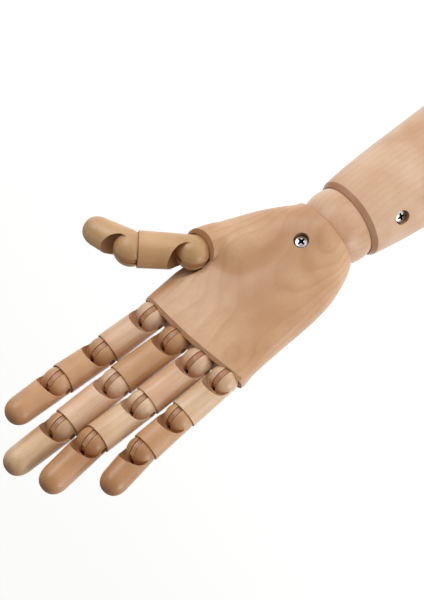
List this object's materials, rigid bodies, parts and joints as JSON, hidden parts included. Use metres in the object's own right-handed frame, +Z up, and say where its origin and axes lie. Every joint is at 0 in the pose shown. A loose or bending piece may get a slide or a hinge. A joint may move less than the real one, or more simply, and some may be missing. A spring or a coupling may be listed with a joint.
{
  "type": "artist mannequin hand",
  "caption": "Life-size jointed wooden hand for drawing, on a turned tapering forearm that stands on its flat base; ball-and-tongue finger joints and a sprung wrist ball.",
  "frame": {"origin": "centre of the forearm's flat base", "axes": "+Z up along the forearm's turned axis, the palm faces -Y and the thumb is on the +X side"},
  "size_m": [0.1216, 0.06, 0.3295],
  "materials": {
    "forearm_beech": "satin clear varnish over turned beech",
    "ball_beech": "satin clear varnish over turned beech",
    "palm_beech": "satin clear varnish over carved beech",
    "proximal_beech": "satin clear varnish over turned beech",
    "middle_beech": "satin clear varnish over turned beech",
    "distal_beech": "satin clear varnish over turned beech",
    "tongue_beech": "sawn beech, lightly oiled",
    "pin_dowel": "plain hardwood dowel",
    "steel_screw": "bright zinc plated",
    "spring_steel": "drawn spring wire"
  },
  "bodies": {
    "forearm": {"forearm": "forearm_beech", "forearm_screw": "steel_screw"},
    "wrist_spring": {"wrist_spring": "spring_steel"},
    "wrist_ball": {"wrist_ball": "ball_beech"},
    "palm": {"palm": "palm_beech", "palm_screw": "steel_screw", "thumb_knuckle_tongue": "tongue_beech", "index_knuckle_tongue": "tongue_beech", "middle_knuckle_tongue": "tongue_beech", "ring_knuckle_tongue": "tongue_beech", "little_knuckle_tongue": "tongue_beech"},
    "thumb_proximal": {"thumb_proximal": "proximal_beech", "thumb_knuckle_pin": "pin_dowel", "thumb_end_tongue": "tongue_beech"},
    "thumb_distal": {"thumb_distal": "distal_beech", "thumb_end_pin": "pin_dowel"},
    "index_proximal": {"index_proximal": "proximal_beech", "index_knuckle_pin": "pin_dowel", "index_middle_tongue": "tongue_beech"},
    "index_middle": {"index_middle": "middle_beech", "index_middle_pin": "pin_dowel", "index_end_tongue": "tongue_beech"},
    "index_distal": {"index_distal": "distal_beech", "index_end_pin": "pin_dowel"},
    "middle_proximal": {"middle_proximal": "proximal_beech", "middle_knuckle_pin": "pin_dowel", "middle_middle_tongue": "tongue_beech"},
    "middle_middle": {"middle_middle": "middle_beech", "middle_middle_pin": "pin_dowel", "middle_end_tongue": "tongue_beech"},
    "middle_distal": {"middle_distal": "distal_beech", "middle_end_pin": "pin_dowel"},
    "ring_proximal": {"ring_proximal": "proximal_beech", "ring_knuckle_pin": "pin_dowel", "ring_middle_tongue": "tongue_beech"},
    "ring_middle": {"ring_middle": "middle_beech", "ring_middle_pin": "pin_dowel", "ring_end_tongue": "tongue_beech"},
    "ring_distal": {"ring_distal": "distal_beech", "ring_end_pin": "pin_dowel"},
    "little_proximal": {"little_proximal": "proximal_beech", "little_knuckle_pin": "pin_dowel", "little_middle_tongue": "tongue_beech"},
    "little_middle": {"little_middle": "middle_beech", "little_middle_pin": "pin_dowel", "little_end_tongue": "tongue_beech"},
    "little_distal": {"little_distal": "distal_beech", "little_end_pin": "pin_dowel"}
  },
  "joints": [
    {"name": "wrist_twist", "type": "hinge", "parent": "forearm", "child": "wrist_spring", "pos_m": [0, 0, 0.1196], "axis": [0, 0, 1], "range_deg": [-90, 90], "deforming": ["wrist_spring"]},
    {"name": "wrist_flex", "type": "hinge", "parent": "wrist_spring", "child": "wrist_ball", "pos_m": [0, 0, 0.1196], "axis": [1, 0, 0], "range_deg": [-17.5, 32.5], "deforming": ["wrist_spring"]},
    {"name": "wrist_deviation", "type": "hinge", "parent": "wrist_ball", "child": "palm", "pos_m": [0, 0, 0.1196], "axis": [0, -0.9914, 0.1305], "range_deg": [-18, 18], "deforming": ["wrist_spring"]},
    {"name": "index_knuckle", "type": "hinge", "parent": "palm", "child": "index_proximal", "pos_m": [0.02176, 0.01468, 0.22348], "axis": [1, 0, 0], "range_deg": [-15, 76]},
    {"name": "index_middle_joint", "type": "hinge", "parent": "index_proximal", "child": "index_middle", "pos_m": [0.02176, 0.01867, 0.25372], "axis": [0.9993, 0.0294, 0.0225], "range_deg": [-18.5, 67.5]},
    {"name": "index_end_joint", "type": "hinge", "parent": "index_middle", "child": "index_distal", "pos_m": [0.02116, 0.01716, 0.28217], "axis": [0.9907, 0.0766, 0.1122], "range_deg": [-13, 43]},
    {"name": "middle_knuckle", "type": "hinge", "parent": "palm", "child": "middle_proximal", "pos_m": [0.00408, 0.01427, 0.22266], "axis": [0.998, 0.0628, 0.0093], "range_deg": [-17.5, 67.5]},
    {"name": "middle_middle_joint", "type": "hinge", "parent": "middle_proximal", "child": "middle_middle", "pos_m": [0.00353, 0.01752, 0.25951], "axis": [0.9939, 0.0933, 0.0591], "range_deg": [-9, 77]},
    {"name": "middle_end_joint", "type": "hinge", "parent": "middle_middle", "child": "middle_distal", "pos_m": [0.00126, 0.01981, 0.29417], "axis": [0.9909, 0.1117, 0.0752], "range_deg": [-13.5, 42.5]},
    {"name": "ring_knuckle", "type": "hinge", "parent": "palm", "child": "ring_proximal", "pos_m": [-0.01289, 0.01358, 0.2212], "axis": [0.9995, 0.0207, 0.0237], "range_deg": [-10, 68]},
    {"name": "ring_middle_joint", "type": "hinge", "parent": "ring_proximal", "child": "ring_middle", "pos_m": [-0.01378, 0.01693, 0.25602], "axis": [0.9984, 0.0398, 0.0393], "range_deg": [-8, 65]},
    {"name": "ring_end_joint", "type": "hinge", "parent": "ring_middle", "child": "ring_distal", "pos_m": [-0.01504, 0.01719, 0.2878], "axis": [0.9827, 0.0923, 0.1603], "range_deg": [-4, 41]},
    {"name": "little_knuckle", "type": "hinge", "parent": "palm", "child": "little_proximal", "pos_m": [-0.02838, 0.0128, 0.21685], "axis": [0.9968, 0.0598, 0.0537], "range_deg": [-14, 81]},
    {"name": "little_middle_joint", "type": "hinge", "parent": "little_proximal", "child": "little_middle", "pos_m": [-0.03021, 0.01712, 0.24608], "axis": [0.984, 0.1665, 0.0636], "range_deg": [-10, 78]},
    {"name": "little_end_joint", "type": "hinge", "parent": "little_middle", "child": "little_distal", "pos_m": [-0.03228, 0.01982, 0.27105], "axis": [0.9347, 0.2974, 0.1945], "range_deg": [-9, 49]},
    {"name": "thumb_knuckle", "type": "hinge", "parent": "palm", "child": "thumb_proximal", "pos_m": [0.03189, -0.00076, 0.18966], "axis": [0.1002, -0.9846, -0.1433], "range_deg": [-5, 20]},
    {"name": "thumb_end_joint", "type": "hinge", "parent": "thumb_proximal", "child": "thumb_distal", "pos_m": [0.05177, -0.00231, 0.21417], "axis": [0.1002, -0.9846, -0.1433], "range_deg": [-2, 58]}
  ]
}
